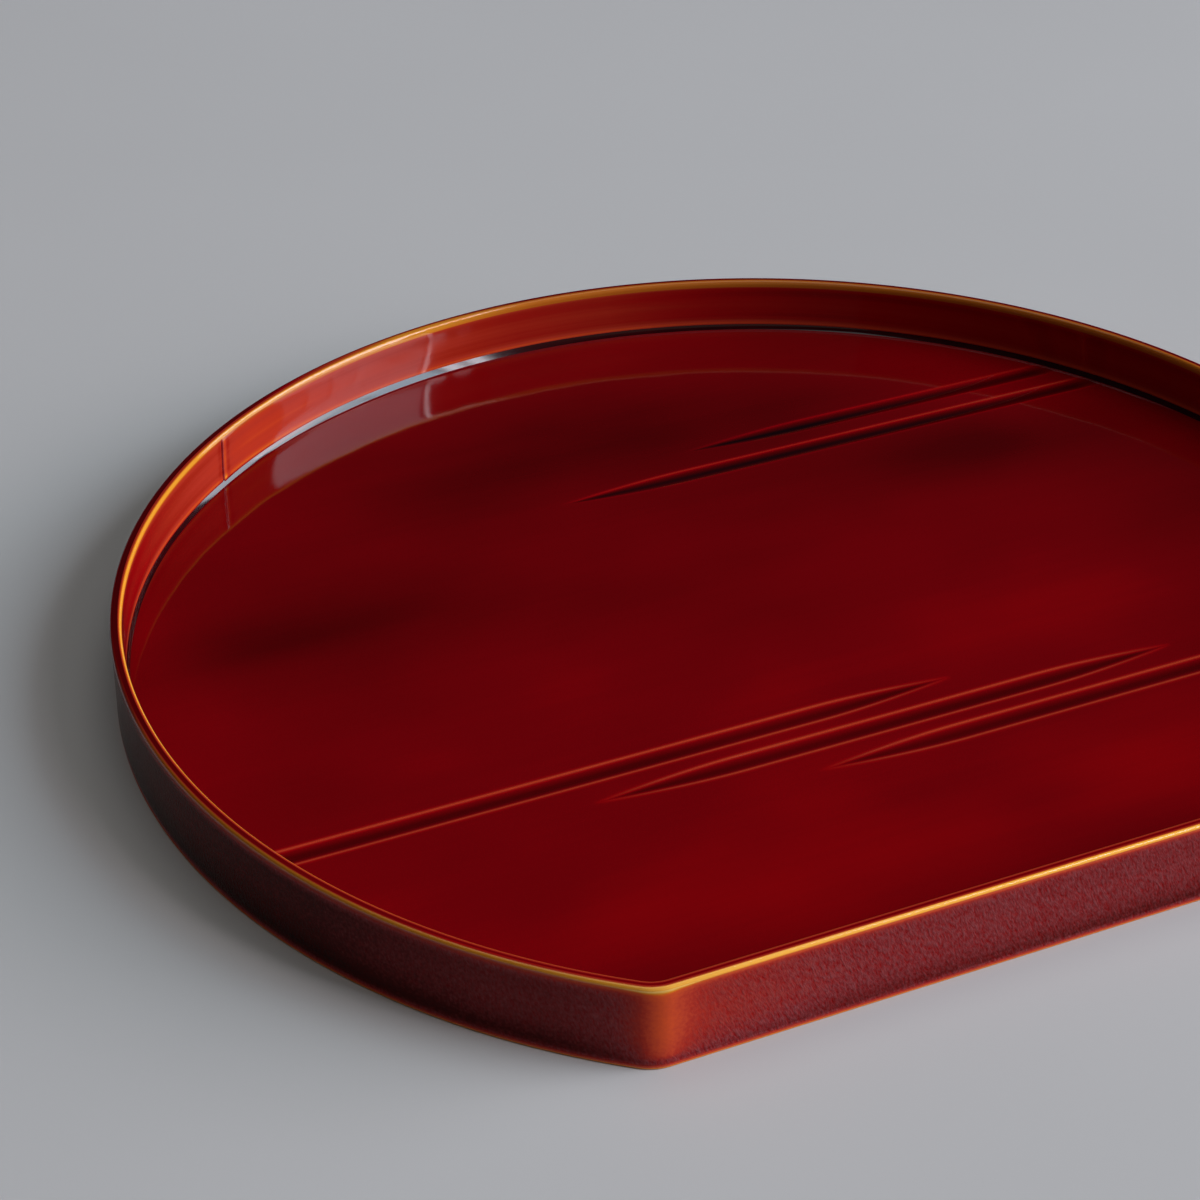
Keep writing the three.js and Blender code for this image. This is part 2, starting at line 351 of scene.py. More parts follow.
@dataclass(frozen=True)
class Lacquer:
    """Translucent red-brown lacquer, polished, whose colour follows its film's thickness times
    painted light and shade; its wrinkles, where it has them, carry a painted sheen.
    """

    name: str
    tint: Tint = Tint.RED
    clouds: float = 0.13
    cloud_scale: Scale = (7.0, 13.0, 9.0)
    streaks: float = 0.07
    streak_scale: Scale = (5.0, 160.0, 160.0)
    brush: float = 0.03
    brush_scale: Scale = (16.0, 620.0, 620.0)
    crinkle: float = 0.0
    crinkle_scale: Scale = (1150.0, 1150.0, 1150.0)
    drift_films: Span = (0.05, 0.4)
    # How far each channel of the wrinkles' colour swings, which is a painted sheen; none for a
    # lacquer without wrinkles.
    fold_sheen: Optional[Colour] = None
    fold_lean: float = 25.0
    fold_scale: Scale = (1900.0, 1900.0, 700.0)
    fold_films: Span = (0.42, 0.62)
    roughness: float = 0.055
    gloss: float = 0.5
    ripple: float = 0.00006
    ripple_scale: Scale = (55.0, 55.0, 55.0)

    def make(self) -> bpy.types.Material:
        """Builds the material.

        Returns:
            The lacquer.
        """
        shader = Shader(self.name)
        place = shader.place()
        film = shader.stored(FILM)
        drift = shader.noise(place, self.cloud_scale) * self.clouds
        drift = drift + shader.noise(place, self.streak_scale, 3.0) * self.streaks
        drift = drift + shader.noise(place, self.brush_scale, 1.0) * self.brush
        if self.crinkle:
            drift = drift + shader.noise(place, self.crinkle_scale) * self.crinkle
        drift = drift * shader.between(film, self.drift_films)
        # The colour is multiplied by the stored painted shade, which lightens or darkens it as
        # light and shade would.
        colour = shader.ramp(self.tint.value, film + drift) * shader.stored(PAINTED_SHADE)
        height = shader.noise(place, self.ripple_scale, 1.0)
        if self.fold_sheen:
            folds = self.folds(shader, place) * shader.between(film, self.fold_films)
            # The wrinkles' ridges are tinted paler in green and blue: a painted sheen that stands
            # for the pale ground's reflection, on top of their bump.
            colour = colour * shader.waver(folds, (1.0, 1.0, 1.0), self.fold_sheen)
            height = height + folds
        bump = shader.node(
            "ShaderNodeBump", None, {"Distance": self.ripple, "Height": height}, Kind.VECTOR
        )
        shader.dress(
            base_color=colour,
            roughness=self.roughness,
            IOR=1.5,
            specular_IOR_level=self.gloss,
            normal=bump,
        )
        return shader.material

    def folds(self, shader: Shader, place: Wire) -> Wire:
        """Adds the fine leaning wrinkles of lacquer that dried in a thick coat.

        Args:
            shader: The lacquer's shader.
            place: The place on the piece.

        Returns:
            A noise whose middle is 0.
        """
        turn = (0.0, math.radians(self.fold_lean), 0.0)
        sockets = {"Vector": place, "Rotation": turn}
        leaning = shader.node("ShaderNodeMapping", None, sockets, Kind.VECTOR)
        return shader.noise(leaning, self.fold_scale)


@dataclass(frozen=True)
class Bamboo:
    """Bare smoked bamboo, with fine fibres along its length."""

    name: str
    fibres: Scale = (900.0, 900.0, 900.0)
    stops: Tuple[Tuple[float, Colour], ...] = (
        (0.2, (0.36, 0.20, 0.06)),
        (0.5, (0.58, 0.37, 0.11)),
        (0.8, (0.70, 0.50, 0.20)),
    )
    roughness: float = 0.6

    def make(self) -> bpy.types.Material:
        """Builds the material.

        Returns:
            The bamboo.
        """
        shader = Shader(self.name)
        fibre = shader.noise(shader.place(), self.fibres, 3.0) + 0.5
        shader.dress(base_color=shader.ramp(self.stops, fibre), roughness=self.roughness)
        return shader.material


@dataclass(frozen=True)
class PaleGround:
    """A plain pale matt surface for the tray to stand on."""

    name: str = "pale_ground"
    colour: Colour = (0.55, 0.545, 0.53)
    swing: Colour = (0.055, 0.0545, 0.053)
    cloud_scale: Scale = (3.0, 3.0, 3.0)

    def make(self) -> bpy.types.Material:
        """Builds the material.

        Returns:
            The ground's finish.
        """
        shader = Shader(self.name)
        clouds = shader.noise(shader.place(), self.cloud_scale, 3.0)
        tint = shader.waver(clouds, self.colour, self.swing)
        shader.dress(base_color=tint, roughness=1.0, specular_IOR_level=0.0)
        return shader.material


@dataclass(frozen=True)
class Outline:
    """The tray's plan: a circle cut off by a straight side, with rounded corners.

    Lengths are millimetres from the circle's centre. Stations run anticlockwise.
    """

    rim_radius: float = 180.0
    chord_distance: float = 144.0
    corner_radius: float = 12.0

    @property
    def corner_y(self) -> float:
        """The height of the corner's centre on the plan."""
        return self.corner_radius - self.chord_distance

    @property
    def corner_x(self) -> float:
        """The distance of the corner's centre from the middle line."""
        return math.sqrt((self.rim_radius - self.corner_radius) ** 2 - self.corner_y**2)

    @property
    def turn(self) -> float:
        """The angle at which the long arc begins, at the right corner."""
        return math.atan2(self.corner_y, self.corner_x)

    @property
    def middle(self) -> float:
        """The middle of the footprint, along the depth."""
        return (self.rim_radius - self.chord_distance) / 2

    def even_arc(self, steps: int) -> np.ndarray:
        """Angles of evenly spaced stations on the long arc, in radians, rising."""
        return np.linspace(self.turn, math.pi - self.turn, steps + 1)

    def walk(
        self, arc: np.ndarray, corner_steps: int, chord_steps: int
    ) -> Tuple[np.ndarray, np.ndarray]:
        """Walks once round the outline.

        Args:
            arc: The angles of the stations on the long arc, from the right corner to the left.
            corner_steps: How many stations each corner has.
            chord_steps: How many stations the straight side has.

        Returns:
            The stations on the outer face, and the outward directions there.
        """
        out = np.stack([np.cos(arc), np.sin(arc)], 1)
        spots = [out * self.rim_radius]
        ways = [out]
        x_steps = np.linspace(-self.corner_x, self.corner_x, chord_steps + 2)[1:-1]
        for side in (-1, 1):
            start = math.pi - self.turn if side < 0 else -math.pi / 2
            end = 1.5 * math.pi if side < 0 else self.turn
            angle = np.linspace(start, end, corner_steps + 2)
            angle = angle[1:] if side < 0 else angle[:-1]
            out = np.stack([np.cos(angle), np.sin(angle)], 1)
            if side > 0:
                spots.append(np.stack([x_steps, np.full_like(x_steps, -self.chord_distance)], 1))
                ways.append(np.tile([0.0, -1.0], (chord_steps, 1)))
            centre = np.array([side * self.corner_x, self.corner_y])
            spots.append(centre + out * self.corner_radius)
            ways.append(out)
        return np.concatenate(spots), np.concatenate(ways)

    def half_width(self, y: np.ndarray, inset: float) -> np.ndarray:
        """Half the plan's width on a line parallel to the straight side.

        Args:
            y: Places along the depth.
            inset: How far the outline is moved inwards.

        Returns:
            Half widths.
        """
        radius = self.rim_radius - inset
        corner = self.corner_radius - inset
        on_arc = np.sqrt(np.maximum(radius**2 - y**2, 0.0))
        on_corner = self.corner_x + np.sqrt(np.maximum(corner**2 - (y - self.corner_y) ** 2, 0.0))
        arc_from = self.corner_y + corner * math.sin(self.turn)
        return np.where(y >= arc_from, on_arc, on_corner)


def smooth(value: np.ndarray, low: float, high: float) -> np.ndarray:
    """Rises smoothly from 0 at one value to 1 at another.

    Args:
        value: The values.
        low: Where the rise begins.
        high: Where it ends.

    Returns:
        Shares from 0 to 1.
    """
    share = np.clip((value - low) / (high - low), 0.0, 1.0)
    return share * share * (3.0 - 2.0 * share)


def make_piece(
    name: str,
    points: np.ndarray,
    faces: List[Tuple[int, ...]],
    film: np.ndarray,
    middle: float,
    finishes: Optional[np.ndarray] = None,
    shade: Optional[np.ndarray] = None,
) -> bpy.types.Object:
    """Makes one smooth mesh object, with its film of lacquer and its painted shade as point
    attributes.

    Args:
        name: The object's name.
        points: Points in millimetres from the circle's centre, three numbers each.
        faces: Faces as point numbers, anticlockwise from outside.
        film: The film's thickness at each point, from 0 to 1.
        middle: The footprint's middle along the depth, which becomes the origin.
        finishes: For each face, which of the piece's finishes it has; the first if left out.
        shade: Painted light and shade at each point, which multiplies the colour; 1 if left out.

    Returns:
        The object.
    """
    placed = (points - np.array([0.0, middle, 0.0])) * MILLIMETRE
    mesh = bpy.data.meshes.new(name)
    mesh.from_pydata(placed.tolist(), [], faces)
    mesh.validate()
    bright = np.ones(len(film)) if shade is None else shade
    for title, values in ((FILM, film), (PAINTED_SHADE, bright)):
        stored = mesh.attributes.new(title, "FLOAT", "POINT")
        stored.data.foreach_set("value", values.astype(np.float32))
    if finishes is not None:
        mesh.polygons.foreach_set("material_index", finishes.astype(np.int32))
    mesh.shade_smooth()
    mesh.set_sharp_from_angle(angle=math.radians(CREASE))
    piece = bpy.data.objects.new(name, mesh)
    bpy.context.scene.collection.objects.link(piece)
    return piece


def ring_faces(points: int, stations: int) -> List[Tuple[int, ...]]:
    """Faces of a closed section carried round a closed outline.

    Args:
        points: How many points the section has.
        stations: How many stations the outline has.

    Returns:
        Faces for points numbered section by section, each with all its stations.
    """
    faces = []
    for i in range(points):
        low = i * stations
        high = (i + 1) % points * stations
        for j in range(stations):
            ahead = (j + 1) % stations
            faces.append((low + j, high + j, high + ahead, low + ahead))
    return faces


def sweep(
    name: str,
    outline: Outline,
    stations: Tuple[np.ndarray, np.ndarray],
    inset: np.ndarray,
    height: np.ndarray,
    film: np.ndarray,
    **looks: Any,
) -> bpy.types.Object:
    """Carries a closed section round the outline, and makes the piece.

    Args:
        name: The piece's name.
        outline: The outline.
        stations: The stations on the outer face, and the outward directions there.
        inset: Distances inwards, a row for each of the section's points.
        height: Heights, in the same rows.
        film: The film, in the same rows.
        **looks: The finishes and the shade for make_piece.

    Returns:
        The object.
    """
    spots, ways = stations
    plan = spots[None] - inset[..., None] * ways[None]
    points = np.concatenate([plan, height[..., None]], 2).reshape(-1, 3)
    faces = ring_faces(len(inset), len(spots))
    return make_piece(name, points, faces, film.ravel(), outline.middle, **looks)


def quarter(steps: int) -> List[Tuple[float, float, float]]:
    """Steps round a quarter turn.

    Args:
        steps: How many steps the turn is cut into.

    Returns:
        For each step the share of the turn, its sine and its cosine.
    """
    shares = [i / steps for i in range(steps + 1)]
    angles = [share * math.pi / 2 for share in shares]
    return [(share, math.sin(angle), math.cos(angle)) for share, angle in zip(shares, angles)]


@dataclass(frozen=True)
class Section:
    """A closed section through a swept piece: inset from the outer face, height and film."""

    inset: np.ndarray
    height: np.ndarray
    film: np.ndarray

    @classmethod
    def of(cls, rows: Sequence[Tuple[float, float, float]]) -> "Section":
        """Makes a section from its points, in order: inset, height and film."""
        table = np.array(rows, float)
        return cls(table[:, 0], table[:, 1], table[:, 2])

    def spread(self, count: int) -> Tuple[np.ndarray, ...]:
        """Repeats insets, heights and films for a count of stations, a row for each point."""
        columns = (self.inset, self.height, self.film)
        return tuple(np.repeat(column[:, None], count, 1) for column in columns)


# The film up the inner wall by the height above the floor's shoulder, over the lip's flat by the
# share of its width, and down the outer wall by the depth below its arris.
INNER_FILMS = (
    (0.7, 0.75), (1.1, 0.50), (1.4, 0.26), (1.8, 0.23), (2.3, 0.32), (3.1, 0.42), (4.2, 0.48),
    (6.0, 0.46), (8.0, 0.43), (10.0, 0.45), (11.8, 0.49), (13.0, 0.49), (13.9, 0.42),
)
FLAT_FILMS = (
    (0.07, 0.42), (0.2, 0.62), (0.45, 0.72), (0.7, 0.56), (0.85, 0.44), (0.95, 0.34),
)
OUTER_FILMS = (
    (0.25, 0.26), (0.6, 0.38), (1.1, 0.52), (1.8, 0.61), (3.2, 0.65), (6.0, 0.65), (9.0, 0.64),
    (12.0, 0.65), (15.0, 0.67), (17.5, 0.71), (19.0, 0.75), (20.4, 0.75), (21.2, 0.62),
    (21.7, 0.36),
)

# How things change round the tray, by the angle in degrees from the circle's centre: the inner
# wall's film, what is added to the film on the outer face and the two arrises, the painted shade
# that multiplies the colour of the arrises and of the lip's flat, the least film on the lip's
# flat, and how far the lip is amber. Much of this paints light and shade into the colour: the
# outer face, the outer arris and the flat are darker on the left, away from the window at the
# right front, the arrises are darker at the back, and the inner wall is lighter on the back-left,
# where the window's light falls, and darker on the back-right. The amber over the back of the lip
# is a painted reflection, and at about 100 to 118 degrees a painted highlight of the window.
INNER_TONES = (
    (-180.0, 0.54), (-128.0, 0.50), (-60.0, 0.54), (0.0, 0.56), (40.0, 0.580), (60.0, 0.600),
    (70.0, 0.575), (80.0, 0.48), (90.0, 0.485), (97.0, 0.43), (103.0, 0.378), (110.0, 0.380),
    (117.0, 0.330), (125.0, 0.32), (133.0, 0.40), (140.0, 0.45), (150.0, 0.54), (180.0, 0.54),
)
OUTER_TONES = (
    (-180.0, 0.18), (-155.0, 0.17), (-148.0, 0.11), (-140.0, 0.08), (-134.0, 0.10), (-130.0, 0.08),
    (-127.5, 0.01), (-124.0, -0.05), (-118.0, -0.03), (-112.0, 0.0), (-60.0, 0.01), (-50.0, 0.04),
    (90.0, 0.08), (180.0, 0.18),
)
INNER_ARRIS_TONES = (
    (-180.0, 0.0), (-128.0, 0.06), (60.0, 0.06), (100.0, 0.03), (152.0, 0.03), (180.0, 0.0),
)
INNER_ARRIS_PAINTED_SHADE = (
    (-180.0, 1.0), (-50.0, 1.0), (0.0, 0.6), (60.0, 0.55), (75.0, 0.6), (90.0, 0.65),
    (100.0, 0.78), (112.0, 0.74), (125.0, 0.70), (140.0, 0.78), (152.0, 0.85), (164.0, 0.9),
    (176.0, 1.0), (180.0, 1.0),
)
OUTER_ARRIS_TONES = (
    (-180.0, 0.16), (-172.0, 0.11), (-160.0, 0.07), (-148.0, 0.06), (-136.0, 0.05), (-126.0, 0.0),
    (-54.0, 0.0), (-40.0, 0.05), (0.0, 0.2), (60.0, 0.5), (112.0, 0.5), (125.0, 0.6), (164.0, 0.5),
    (176.0, 0.26), (180.0, 0.16),
)
OUTER_ARRIS_PAINTED_SHADE = (
    (-180.0, 0.62), (-172.0, 0.64), (-160.0, 0.64), (-148.0, 0.68), (-136.0, 0.70),
    (-127.0, 0.88), (-120.0, 1.03), (-54.0, 1.03), (0.0, 0.7), (60.0, 0.6), (125.0, 0.8),
    (176.0, 0.5), (180.0, 0.62),
)
FLAT_FLOORS = (
    (-180.0, 0.80), (-172.0, 0.78), (-160.0, 0.74), (-148.0, 0.66), (-136.0, 0.52), (-126.0, 0.0),
    (-50.0, 0.0), (-20.0, 0.6), (125.0, 0.82), (152.0, 0.84), (180.0, 0.80),
)
AMBER_REACH = ((88.0, 0.0), (100.0, 0.4), (112.0, 0.6), (118.0, 0.5), (126.0, 0.0))
AMBER_FILMS = ((88.0, 0.13), (100.0, 0.09), (114.0, 0.07), (124.0, 0.13))
LIP_TONES = ((-60.0, 0.0), (-20.0, 1.0), (104.0, 1.0), (124.0, 0.0))

# Shapes that change round the tray in the same way: how far the wall leans in at its top, in
# millimetres, how high the cove rises, and how steep it is at its foot and its top, in degrees.
LAP_SWELL = (
    (92.0, 0.0), (112.0, 0.26), (140.0, 0.3), (152.0, 0.1), (164.0, -0.15), (176.0, 0.0),
)
COVE_RISES = (
    (-180.0, 1.3), (-150.0, 1.5), (60.0, 1.5), (88.0, 1.6), (112.0, 1.6), (124.0, 1.3),
    (180.0, 1.3),
)
COVE_FOOT_SLOPES = (
    (70.0, 46.0), (84.0, 53.0), (97.0, 53.0), (103.0, 50.5), (111.0, 50.5), (118.0, 51.0),
    (140.0, 50.0), (150.0, 46.0),
)
COVE_TOP_SLOPES = (
    (70.0, 62.0), (84.0, 54.5), (97.0, 54.5), (103.0, 53.5), (111.0, 53.5), (118.0, 62.0),
    (150.0, 62.0),
)

# What the lacquer does at a lapped end: for each ridge or dip in the film, how much, its distance
# from the end in millimetres, its reach, and how sharply it stops.
LAP_FILMS = (
    (0.50, 0.25, 0.34, 2), (-0.12, -1.0, 0.8, 4), (0.09, -2.6, 1.1, 2), (0.08, 1.6, 1.0, 2),
)


def around(tones: Sequence[Span], angle: np.ndarray) -> np.ndarray:
    """Reads pairs of degrees and a value at the stations' angles, which are in radians."""
    places, values = zip(*tones)
    return np.interp(np.degrees(angle), places, values)


@dataclass(frozen=True)
class Hoop:
    """The bent hoop: an upright wall with rounded arrises and a lapped, glued joint.

    Lengths are millimetres, angles degrees. A foot span is where an effect sets in, by the height
    above the table, and a head span is where it ends, by the depth below the lip.
    """

    outline: Outline
    height: float = 23.5
    wall: float = 3.2
    outer_arris: float = 0.9
    inner_arris: float = 0.9
    inner_drop: float = 1.5
    foot_arris: float = 0.5
    rabbet: float = 1.0
    shoulder: float = 7.3
    lip_hollow: float = 0.02
    bow: float = 0.07
    bow_middle: float = 14.8
    bow_reach: float = 6.2
    lean_span: Span = (8.8, 21.0)
    inner_rubbed: float = 0.6
    outer_rubbed: float = 0.75
    plain_film: float = 0.45
    foot_film: float = 0.12
    foot_flat: float = 0.3
    outer_finish: Span = (0.55, 22.4)
    inner_foot: Span = (7.8, 11.3)
    inner_head: Span = (2.6, 1.2)
    outer_foot: Span = (1.6, 3.0)
    outer_head: Span = (3.2, 1.6)
    edge_head: Span = (2.2, 1.2)
    flat_margin: float = 0.15
    amber_width: float = 1.2
    amber_fade: float = 0.7
    amber_rise: float = 0.55
    glows: Tuple[Span, ...] = ((0.25, 6.2), (0.08, 24.0))
    glow_place: float = 0.27
    glow_height: float = 1.0
    glow_foot: Span = (1.0, 4.0)
    lap_angle: float = 129.4
    lap_length: float = 30.0
    lap_taper: float = 7.0
    inner_lap_head: Span = (2.4, 1.0)
    outer_lap_foot: Span = (0.4, 1.2)
    outer_lap_head: Span = (2.0, 0.9)
    outer_lap_share: float = 0.5
    step: float = 0.2
    step_span: Span = (-0.45, 0.1)
    notch: float = 0.12
    notch_place: float = 0.2
    notch_reach: float = 0.22
    arc_steps: int = 400
    lap_clear: float = 4.5
    lap_close: float = 1.2
    lap_pitch: float = 0.08
    lap_stations: Tuple[float, ...] = (-6.0, -4.0, -3.0, -2.2, -1.6, 1.6, 2.2, 3.0, 4.0)
    arris_steps: int = 12
    foot_steps: int = 6
    corner_steps: int = 18
    chord_steps: int = 60

    def section(self) -> Section:
        """The hoop's section, from the foot's inner edge up the inside and down the outside.

        Returns:
            The section.
        """
        wall, top = self.wall, self.height
        inner_top = top - self.inner_drop
        rows = [
            (wall - self.rabbet, 0.0, 1.0),
            (wall - self.rabbet, self.shoulder, 1.0),
            (wall, self.shoulder, 0.9),
        ]
        rows += [(wall, self.shoulder + rise, film) for rise, film in INNER_FILMS]
        rows.append((wall, inner_top - 0.3, 0.22))
        for share, sine, cosine in quarter(self.arris_steps):
            inset = wall - self.inner_arris * (1 - cosine)
            film = self.arris_film(share, self.inner_rubbed)
            rows.append((inset, inner_top + self.inner_drop * sine, film))
        flat = wall - self.inner_arris - self.outer_arris
        for share, film in FLAT_FILMS:
            sag = self.lip_hollow * (1 - (2 * share - 1) ** 2)
            rows.append((wall - self.inner_arris - flat * share, top - sag, film))
        for share, sine, cosine in quarter(self.arris_steps):
            drop = self.outer_arris * (1 - cosine)
            film = self.arris_film(1 - share, self.outer_rubbed)
            rows.append((self.outer_arris * (1 - sine), top - drop, film))
        below = top - self.outer_arris
        rows += [(0.0, below - drop, film) for drop, film in OUTER_FILMS]
        for _, sine, cosine in quarter(self.foot_steps):
            inset = self.foot_arris * (1 - cosine)
            rows.append((inset, self.foot_arris * (1 - sine), self.foot_film))
        rows.append((self.foot_arris + self.foot_flat, 0.0, 0.5))
        return Section.of(rows)

    @staticmethod
    def arris_film(share: float, rubbed: float) -> float:
        """The film over a rounded arris of the lip, thinnest where the cloth rubbed it most.

        Args:
            share: 0 at the wall's side of the arris and 1 at the lip's flat.
            rubbed: How far over the arris the film is at its thinnest.

        Returns:
            The film.
        """
        thinnest, wall_side, wall_rise, flat_rise, bend = 0.04, 0.25, 0.14, 0.27, 1.5
        if share < wall_side:
            return thinnest + wall_rise * (1 - share / wall_side) ** bend
        if share > rubbed:
            return thinnest + flat_rise * ((share - rubbed) / (1 - rubbed)) ** bend
        return thinnest

    def arc_angles(self) -> np.ndarray:
        """The stations on the long arc, closer together at the lap's two ends.

        Returns:
            Angles in radians, rising.
        """
        even = self.outline.even_arc(self.arc_steps)
        pitch = self.lap_pitch
        close = np.arange(-self.lap_close, self.lap_close + pitch / 2, pitch)
        near = np.concatenate([close, self.lap_stations])
        keep = np.ones(len(even), bool)
        for end in self.lap_ends():
            keep &= np.abs(even - end) * self.outline.rim_radius > self.lap_clear
        keep[0] = keep[-1] = True
        added = [end + near / self.outline.rim_radius for end in self.lap_ends()]
        return np.sort(np.concatenate([even[keep], *added]))

    def lap_ends(self) -> Span:
        """Angles of the lap's end on the inner face and of its end on the outer face."""
        inner = math.radians(self.lap_angle)
        return inner, inner - self.lap_length / self.outline.rim_radius

    def lap_end(self, away: np.ndarray) -> Tuple[np.ndarray, np.ndarray]:
        """How the lapped end stands proud, and how the lacquer lies over it.

        Args:
            away: Millimetres from the end, negative on the strip that ends there.

        Returns:
            How far the face stands proud, and what is added to the film.
        """
        proud = self.step * np.exp(np.minimum(away, 0.0) / self.lap_taper)
        proud *= 1 - smooth(away, *self.step_span)
        proud -= self.notch * np.exp(-(((away - self.notch_place) / self.notch_reach) ** 2))
        film = np.zeros_like(away)
        for amount, place, reach, power in LAP_FILMS:
            film += amount * np.exp(-(((away - place) / reach) ** power))
        return proud, film

    def band(
        self, height: np.ndarray, foot: Optional[Span] = None, head: Optional[Span] = None
    ) -> np.ndarray:
        """How much of an effect there is in a band of the wall's height, with soft ends.

        Args:
            height: Heights of the section's points.
            foot: The foot span, or nothing for a band that begins at the table.
            head: The head span, or nothing for a band that ends at the lip.

        Returns:
            Shares from 0 to 1, one for each point of the section, in a column.
        """
        share = np.ones_like(height)
        if foot:
            share = share * smooth(height, *foot)
        if head:
            share = share * (1 - smooth(height, self.height - head[0], self.height - head[1]))
        return share[:, None]

    def build(self) -> bpy.types.Object:
        """Builds the hoop.

        Returns:
            The hoop's object.
        """
        section = self.section()
        up = section.height
        stations = self.outline.walk(self.arc_angles(), self.corner_steps, self.chord_steps)
        spots = stations[0]
        inset, height, film = section.spread(len(spots))
        angle = np.arctan2(spots[:, 1], spots[:, 0])
        inner_end, outer_end = self.lap_ends()
        inner_face = (section.inset > self.wall - TOUCH) & (up > self.shoulder - TOUCH)
        outer_face = section.inset < TOUCH
        inner, outer = inner_face[:, None], outer_face[:, None]

        proud, extra = self.lap_end((angle - inner_end) * self.outline.rim_radius)
        lapped = inner * self.band(up, head=self.inner_lap_head)
        inset += lapped * proud
        film += lapped * extra
        proud, extra = self.lap_end(-(angle - outer_end) * self.outline.rim_radius)
        lapped = outer * self.band(up, self.outer_lap_foot, self.outer_lap_head)
        inset -= lapped * (proud - self.step) * self.outer_lap_share
        film += lapped * extra

        film += self.corner_glow(spots) * (outer * self.band(up, self.glow_foot))
        # The tones round the tray paint light and shade into the walls' film: the inner wall is
        # thinner and lighter on the back-left, where the window's light falls, and thicker and
        # darker on the back-right; the outer face is darker on the left and the back, away from
        # the window, besides its thinner film by the front-left corner.
        toned = inner * self.band(up, self.inner_foot, self.inner_head)
        film += toned * (around(INNER_TONES, angle) - self.plain_film)
        toned = outer * self.band(up, self.outer_foot, self.outer_head)
        film += toned * around(OUTER_TONES, angle)
        shade = self.dress_lip(section, angle, film)

        within = (section.inset > self.wall - self.inner_arris - TOUCH) & (up > self.shoulder)
        lean = within * smooth(up, *self.lean_span)
        inset += lean[:, None] * around(LAP_SWELL, angle)
        from_middle = (up - self.bow_middle) / self.bow_reach
        inset += (within * self.bow * np.minimum(from_middle**2, 1.0))[:, None]

        low, high = self.outer_finish
        upright = outer_face & (up > low) & (up < high)
        finishes = np.repeat(upright & np.roll(upright, -1), len(spots))
        return sweep(
            "lacquered_hoop",
            self.outline,
            stations,
            inset,
            height,
            film.clip(0, 1),
            finishes=finishes,
            shade=shade.ravel(),
        )

    def dress_lip(self, section: Section, angle: np.ndarray, film: np.ndarray) -> np.ndarray:
        """Changes the lip's film round the tray and finds the painted shade over it, which
        together paint
        light and shade: the lip is darker away from the window, and amber over the back as a
        painted reflection.

        Args:
            section: The hoop's section.
            angle: Angles of the stations, in radians.
            film: The film at each point of the section and each station, which is changed.

        Returns:
            The painted shade at each point, which multiplies the colour.
        """
        across = self.wall - section.inset
        near_top = section.height > self.height - self.edge_head[0]
        inner = (across < self.inner_arris + TOUCH) & near_top
        outer = (section.inset < self.outer_arris + TOUCH) & near_top
        flat = near_top & ~inner & ~outer
        film += inner[:, None] * around(INNER_ARRIS_TONES, angle)
        open_flat = flat & (across > self.inner_arris + self.flat_margin)
        film[:] = np.maximum(film, open_flat[:, None] * around(FLAT_FLOORS, angle))
        low, high = self.edge_head
        edge = (outer * smooth(section.height, self.height - low, self.height - high))[:, None]
        film += edge * around(OUTER_ARRIS_TONES, angle)
        # Over the back of the lip the film is made amber: a painted reflection, with a painted
        # highlight of the window where the amber reaches furthest, at about 100 to 118 degrees.
        back = around(LIP_TONES, angle)
        start = self.amber_width + around(AMBER_REACH, angle)[None, :]
        thick = smooth(across[:, None], start, start + self.amber_fade)
        amber = around(AMBER_FILMS, angle) + self.amber_rise * thick
        film += (inner | flat)[:, None] * back * (amber - film)
        # Painted shade: the colour of the arrises, and of the flat over the back, is multiplied
        # down away from the window and a little up on the front.
        inner_shade = around(INNER_ARRIS_PAINTED_SHADE, angle) - 1.0
        shade = 1.0 + inner[:, None] * inner_shade + flat[:, None] * inner_shade * back
        return shade + edge * (around(OUTER_ARRIS_PAINTED_SHADE, angle) - 1.0)

    def corner_glow(self, spots: np.ndarray) -> np.ndarray:
        """Where the lacquer is thinner, over the bends at the two corners.

        Args:
            spots: The stations on the outer face.

        Returns:
            What is added to the film, below 0 at the corners.
        """
        bend = self.outline.corner_radius * (math.pi / 2 + self.outline.turn)
        away = np.hypot(
            np.abs(spots[:, 0]) - self.outline.corner_x - self.glow_place * bend,
            spots[:, 1] + self.outline.chord_distance - self.glow_height,
        )
        glow = sum(amount * np.exp(-((away / wide) ** 2)) for amount, wide in self.glows)
        return -glow[None, :]


